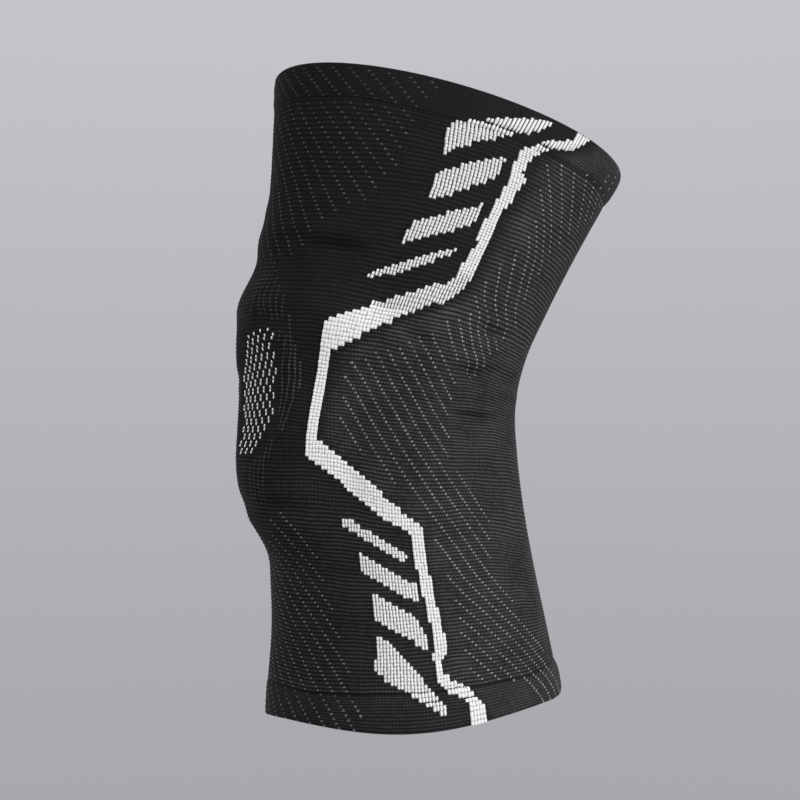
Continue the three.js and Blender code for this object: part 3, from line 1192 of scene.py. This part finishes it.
def hem(name, node, seam_station, edge_station):
    """A turned hem: a closed profile carried round the leg."""
    angles = angles_round(WELT_COLUMNS)
    station = seam_station + (edge_station - seam_station) * WELT_PROFILE[:, 0]
    stands = np.arange(len(WELT_PROFILE))[:, None] < WELT_STAND_ROWS
    offset = WELT_PROFILE[:, 1][:, None] * np.where(stands, hem_stand(angles), 1.0)
    points = surface(angles, station[:, None], offset)
    rows = len(WELT_PROFILE)
    faces, corner_rows, corner_columns = grid_faces(rows + 1, WELT_COLUMNS, True)
    faces = faces % (rows * WELT_COLUMNS)
    profile_courses = np.append(station, station[0]) / HEM_COURSE
    chart = np.stack([corner_columns * WALES / WELT_COLUMNS, profile_courses[corner_rows]], -1)
    if seam_station > edge_station:
        faces = faces[:, ::-1]
        chart = chart[:, ::-1]
    numbers = {
        "paleness": paleness(angles, station[:, None]),
        "knotted": knotted(angles, station[:, None]),
    }
    return add_piece(name, points, faces, BLACK_HEM, [node], numbers, chart)


# Raised stitches
def patches(name, angle, station, offset, crown, flip, material, nodes=()):
    """Small grids of points, one for each stitch, joined into one mesh."""
    count, rows, columns = angle.shape
    one, _, _ = grid_faces(rows, columns, False)
    faces = (np.arange(count)[:, None, None] * rows * columns + one).reshape(-1, 4)
    if flip:
        faces = faces[:, ::-1]
    points = surface(angle, station, offset)
    numbers = {"crown": np.broadcast_to(crown, angle.shape)}
    return add_piece(name, points, faces, material, nodes, numbers)


def crossings(outline, angle):
    """Stations where an outline crosses one angle, in order, with the edge's number and its slope."""
    found = []
    for edge, ((a0, s0), (a1, s1)) in enumerate(zip(outline, np.roll(outline, -1, axis=0))):
        if (a0 <= angle) != (a1 <= angle):
            slope = (s1 - s0) / (a1 - a0)
            found.append((s0 + slope * (angle - a0), edge, abs(slope)))
    return sorted(found)


def stitch_kind(stripe_name, course):
    """The kind of stitch that a stripe has at one course."""
    kind = stripe_name.split("_")[0]
    if kind != "zigzag":
        return kind
    return next(name for from_station, name in ZIGZAG_ZONES if station_at(course) >= from_station)


def evened(spans):
    """Spans of courses by wale, where no wale steps out alone from both of its neighbours."""
    result = {}
    for wale, own in spans.items():
        group = [spans.get(near, []) for near in (wale - 1, wale, wale + 1)]
        if len({len(near) for near in group}) == 1:
            own = [tuple(span) for span in np.median(np.array(group), axis=0)] if own else []
        result[wale] = own
    return result


def stitches_in(stripe_name):
    """Wale, first and last course of each stitch of a stripe; in the top hem one strand fills a wale."""
    table = np.array(STRIPES[stripe_name])
    outline = np.concatenate([table[:, 0:2], table[::-1, 2:4]])
    outline[:, 0] -= lean_at(outline[:, 1])
    cells = []
    first = int(math.floor(wale_at(outline[:, 0].min())))
    last = int(math.ceil(wale_at(outline[:, 0].max())))
    hem_course = SEAM_COURSES[-1]
    spans = {}
    for wale in range(first, last + 1):
        shared = {edge: station for station, edge, _ in crossings(outline, angle_at(wale // 2 * 2 + 1))}
        ends = []
        for station, edge, slope in crossings(outline, angle_at(wale + 0.5)):
            stepped = shared.get(edge, station) if slope < STEEP_EDGE else station
            angle = angle_at(wale + 0.5) + lean_at(stepped)
            ends.append(float(course_at(levelled(angle, stepped))))
        spans[wale] = list(zip(ends[0::2], ends[1::2]))
    for wale, own in evened(spans).items():
        for low, high in own:
            below = min(high, hem_course)
            size = STITCH_KINDS[stitch_kind(stripe_name, (low + below) / 2)]["courses"]
            start = round(low / size)
            least = start + 1 if below - low > LEAST_STITCH * size else start
            end = max(round(below / size), least)
            cells += [(wale, number * size, (number + 1) * size) for number in range(start, end)]
            strand_start = max(low, hem_course)
            if high - strand_start > SHORTEST_STRAND:
                cells.append((wale, strand_start, high))
    return np.array(cells, float)


def stitch_patches(name, stripe_name, side, node):
    """Rounded white stitches that stand side by side up each wale."""
    cells = stitches_in(stripe_name)
    count = len(cells)
    kinds = [STITCH_KINDS[stitch_kind(stripe_name, start)] for start in cells[:, 1]]
    shape = {key: np.array([kind[key] for kind in kinds])[:, None, None] for key in kinds[0]}
    across = np.array(STITCH_ACROSS)[None, None, :]
    along = np.array(STITCH_ALONG)[None, :, None]
    sway = random.normal(0.0, STITCH_SWAY, (count, 1, 1))
    height = random.normal(1.0, STITCH_HEIGHT_SPREAD, (count, 1, 1))
    stray = random.normal(0.0, STITCH_STRAY, (count, 1, 1))
    start = cells[:, 1][:, None, None]
    courses_high = cells[:, 2][:, None, None] - start
    level = station_at(start + courses_high * (0.5 + along) + stray) + 0 * across
    taper = 1 - STITCH_TAPER * (along / STITCH_ALONG[-1]) ** 2
    wale = cells[:, 0][:, None, None] + 0.5 + across * taper + sway
    station = strayed(angle_at(wale) + lean_at(level), level)
    angle = angle_at(wale) + lean_at(station)
    station = strayed(angle, level)
    round_across = np.sqrt(np.clip(1 - (across / shape["half_width"]) ** 2, 0.0, 1.0))
    round_along = np.sqrt(np.clip(1 - (along / STITCH_ROUND) ** 2, 0.0, 1.0))
    in_hem = start >= SEAM_COURSES[-1]
    dip = np.where(in_hem, STITCH_KINDS["strand"]["row_dip"], shape["row_dip"])
    crown = round_across * (1 - dip + dip * round_along)
    inner, outer, edge = STITCH_ACROSS[-3:]
    to_shoulder = np.clip((np.abs(across) - inner) / (outer - inner), 0.0, 1.0)
    foot = STITCH_BASE + (shape["shoulder"] - STITCH_BASE) * to_shoulder
    foot = np.where(np.abs(across) < edge, foot, STITCH_FOOT)
    offset = foot + STITCH_RISE * crown * height
    offset = np.where(np.abs(along) < STITCH_ALONG[-1], offset, STITCH_END) + cloth_rise(angle, station)
    seam_stray = random.normal(0.0, SEAM_DIP_SPREAD, (count, 1, 1))
    for seam, reach in zip(SEAM_COURSES, SEAM_DIP_REACHES):
        near = (level - station_at(seam) - seam_stray) / reach
        offset = offset - SEAM_DIP * np.exp(-near * near)
    # Painted light for each kind of stitch, with painted shade in the grooves between stitches
    light = shape["light"] * (shape["groove_shade"] + (1 - shape["groove_shade"]) * crown)
    return patches(name, side * angle, station, offset, light, side < 0, WHITE_YARN, [node])


def dots(name, places, field, rise, material):
    """Small beads of light yarn at places given as angle, station and tone."""
    places = np.array(places, float)
    half_width, half_height = DOT_SIZES[field]
    across = np.array(DOT_GRID)[None, None, :]
    along = np.array(DOT_GRID)[None, :, None]
    angle = places[:, 0][:, None, None] + across * half_width * WALE + 0 * along
    station = places[:, 1][:, None, None] + along * half_height + 0 * across
    crown = (1 - across**2) * (1 - along**2)
    offset = cloth_rise(angle, station) + DOT_FOOT + rise * crown / crown.max()
    tone = np.minimum(places[:, 2][:, None, None] * crown / crown.max(), 1.0)
    return patches(name, angle, station, offset, tone, False, material)


# Places of the dots: angle, station and tone
def tone_of(level):
    return max(float(level * random.normal(1.0, DOT_TONE_SPREAD)), LEAST_TONE)


def thigh_dots():
    """Lines that run down to the wearer's left across the front of the thigh, and so on over the hem."""
    places = []
    seam = LENGTH - TOP_WELT_HEIGHT
    on_hem = np.arange(seam + HEM_SEAM_CLEAR, LENGTH - HEM_EDGE_CLEAR, HEM_STEP)
    for line in THIGH_LINES:
        start = THIGH_START + THIGH_SPACING * line
        hem_start = HEM_START + HEM_SPACING * line
        slope = -(THIGH_SLOPE + THIGH_SLOPE_GROWTH * max(start - THIGH_GROWTH_FROM, 0.0))
        below = along_line(lambda at: start + slope * (at - THIGH_STATION), THIGH_EDGE[0, 0], seam)
        above = [(hem_start + HEM_SLOPE * (at - HEM_STATION), at) for at in on_hem]
        for angle, station in below + above:
            if abs(angle) < table_at(THIGH_EDGE, station):
                places.append((angle, station, tone_of(table_at(THIGH_TONES, station))))
    return places


def shin_angle(line, station):
    count = table_at(SHIN_COUNT, station) - line
    return np.sign(count) * table_at(SHIN_FAN, np.abs(count))


def shin_dots():
    """Lines that fan out down the shin and on over the hem."""
    places = []
    widest = SHIN_FAN[-1, 1]
    for line in SHIN_LINES:
        for angle, station in along_line(lambda at: shin_angle(line, at), SHIN_LOWEST, SHIN_EDGE[-1, 0]):
            in_field = abs(angle) < min(table_at(SHIN_EDGE, station), widest)
            if in_field and station < SHIN_HIGHEST + SHIN_HIGHEST_CLIMB * abs(angle):
                places.append((angle, station, tone_of(table_at(SHIN_TONES, station))))
    return places


def back_angle(at_160, station):
    return at_160 + table_at(BACK_DRIFT, station)


def back_dots(side):
    places = []
    for at_160, low, high in BACK_LINES:
        for angle, station in along_line(lambda at: back_angle(at_160, at), low, high):
            places.append((side * angle, station, tone_of(BACK_TONE)))
    return places


def side_dots(side):
    places = []
    lowest = BOTTOM_WELT_HEIGHT + SIDE_SEAM_CLEAR
    on_hem = np.arange(SIDE_HEM_START, BOTTOM_WELT_HEIGHT, SIDE_HEM_STEP)
    for line in SIDE_LINES:
        at_120 = SIDE_START + SIDE_SPACING * line
        above = along_line(lambda at: at_120 + table_at(SIDE_DRIFT, at), lowest, SIDE_FRONT_EDGE[-1, 0])
        below = list(zip(at_120 + table_at(SIDE_DRIFT, on_hem), on_hem))
        for angle, station in below + above:
            if table_at(SIDE_FRONT_EDGE, station) < angle < table_at(SIDE_BACK_EDGE, station):
                places.append((side * angle, station, tone_of(table_at(SIDE_TONES, station))))
    return places


def ring_dots():
    places = []
    for line in RING_LINES:
        knots = np.array(line)[::-1]
        across = along_line(lambda at: np.interp(at, knots[:, 1], knots[:, 0]), knots[0, 1], knots[-1, 1])
        for angle, station in across:
            for side in (1, -1) if angle else (1,):
                places.append((side * angle, station, tone_of(RING_TONE)))
    return places


def fleck_places():
    places = []
    for row in range(FLECK_ROWS):
        base = FLECK_BASE + FLECK_ROW_STEP * row
        for column in FLECK_COLUMNS:
            angle = FLECK_SPACING * (column + 0.5 * (row % 2)) + FLECK_START
            station = base + table_at(FLECK_SLANTS, base) * angle
            lean = table_at(FLECK_LEANS, station)
            if table_at(FLECK_EDGES, station) < angle < table_at(FLECK_EDGES, station, 2):
                if base < FLECK_TOP:
                    places.append((angle + lean, station + FLECK_PAIR_HALF, tone_of(FLECK_UPPER_TONE)))
                places.append((angle - lean, station - FLECK_PAIR_HALF, tone_of(FLECK_LOWER_TONE)))
    return places


# Building the sleeve
cloth = knit_cloth()
added = [
    hem("bottom_hem", "bottom_welt", BOTTOM_WELT_HEIGHT, 0.0),
    hem("top_hem", "top_welt", LENGTH - TOP_WELT_HEIGHT, LENGTH),
]
for side_name, side in SIDES:
    for stripe_name in STRIPES:
        piece_name = f"{stripe_name}_stitches_{side_name}"
        node = f"{stripe_name}_{side_name}"
        added.append(stitch_patches(piece_name, stripe_name, side, node))
    added.append(dots(f"back_dots_{side_name}", back_dots(side), "back", DOT_RISE, GREY_YARN))
    added.append(dots(f"side_dots_{side_name}", side_dots(side), "side", DOT_RISE, GREY_YARN))
added.append(dots("thigh_dots", thigh_dots(), "thigh", DOT_RISE, GREY_YARN))
added.append(dots("shin_dots", shin_dots(), "shin", DOT_RISE, GREY_YARN))
added.append(dots("ring_dots", ring_dots(), "ring", DOT_RISE, GREY_YARN))
added.append(dots("kneecap_flecks", fleck_places(), "fleck", FLECK_RISE, FLECK_YARN))


# The stage
def stage_bowl():
    turns = np.arange(BOWL_SIDES) * math.tau / BOWL_SIDES
    corner = np.linspace(0.0, math.pi / 2, BOWL_CORNER_ROWS)
    corner_radius = BOWL_RADIUS - BOWL_CORNER + BOWL_CORNER * np.sin(corner)
    corner_height = FLOOR_Z + BOWL_CORNER * (1 - np.cos(corner))
    radius = np.concatenate([[BOWL_MIDDLE], corner_radius, [BOWL_RADIUS]])[:, None]
    height = np.concatenate([[FLOOR_Z], corner_height, [BOWL_TOP]])[:, None]
    heights = np.repeat(height, BOWL_SIDES, 1)
    points = np.stack([radius * np.cos(turns), radius * np.sin(turns), heights], -1)
    faces, _, _ = grid_faces(len(radius), len(turns), True)
    mesh = bpy.data.meshes.new("stage_bowl")
    mesh.from_pydata(points.reshape(-1, 3).tolist(), [], faces.tolist())
    mesh.polygons.foreach_set("use_smooth", np.ones(len(faces), bool))
    material = bpy.data.materials.new("stage_paper")
    material.use_nodes = True
    tree = material.node_tree
    tree.nodes.clear()
    place = tree.nodes.new("ShaderNodeNewGeometry")
    parts = tree.nodes.new("ShaderNodeSeparateXYZ")
    tree.links.new(place.outputs["Position"], parts.inputs[0])
    share = tree.nodes.new("ShaderNodeMapRange")
    share.inputs["From Min"].default_value = BACKDROP_LOW_Z
    share.inputs["From Max"].default_value = BACKDROP_HIGH_Z
    tree.links.new(parts.outputs[2], share.inputs["Value"])
    glow = tree.nodes.new("ShaderNodeEmission")
    tree.links.new(mix_colours(tree, share.outputs[0], BACKDROP_LOW, BACKDROP_HIGH), glow.inputs["Color"])
    output = tree.nodes.new("ShaderNodeOutputMaterial")
    tree.links.new(glow.outputs[0], output.inputs["Surface"])
    mesh.materials.append(material)
    bowl = bpy.data.objects.new("stage_bowl", mesh)
    bowl.visible_diffuse = False
    bowl.visible_glossy = False
    bpy.context.scene.collection.objects.link(bowl)


def looking_in(angle, elevation, distance):
    """Offset and rotation of what looks in at the leg's axis from an angle round it."""
    turn = math.radians(angle)
    rise = math.radians(elevation)
    offset = (
        distance * math.sin(turn) * math.cos(rise),
        -distance * math.cos(turn) * math.cos(rise),
        distance * math.sin(rise),
    )
    return offset, (math.pi / 2 - rise, 0.0, turn)


def soft_light(name, angle, elevation, distance, size, power):
    """A soft box that looks at the sleeve from an angle round the leg."""
    light = bpy.data.lights.new(name, "AREA")
    light.size = size
    light.energy = power
    lamp = bpy.data.objects.new(name, light)
    lamp.location, lamp.rotation_euler = looking_in(angle, elevation, distance)
    lamp.visible_camera = False
    bpy.context.scene.collection.objects.link(lamp)


def photo_camera():
    data = bpy.data.cameras.new("photo_camera")
    data.lens = LENS
    data.sensor_width = SENSOR
    camera = bpy.data.objects.new("photo_camera", data)
    offset, camera.rotation_euler = looking_in(CAMERA_AZIMUTH, CAMERA_ELEVATION, CAMERA_DISTANCE)
    camera.location = [target + part for target, part in zip(CAMERA_TARGET, offset)]
    bpy.context.scene.collection.objects.link(camera)
    bpy.context.scene.camera = camera


stage_bowl()
for light_row in SOFT_LIGHTS:
    soft_light(*light_row)
photo_camera()
world = bpy.data.worlds.new("studio")
bpy.context.scene.world = world
world.use_nodes = True
world.node_tree.nodes["Background"].inputs["Color"].default_value = WORLD_COLOUR
bpy.context.scene.view_settings.view_transform = "Standard"

bpy.context.view_layer.update()
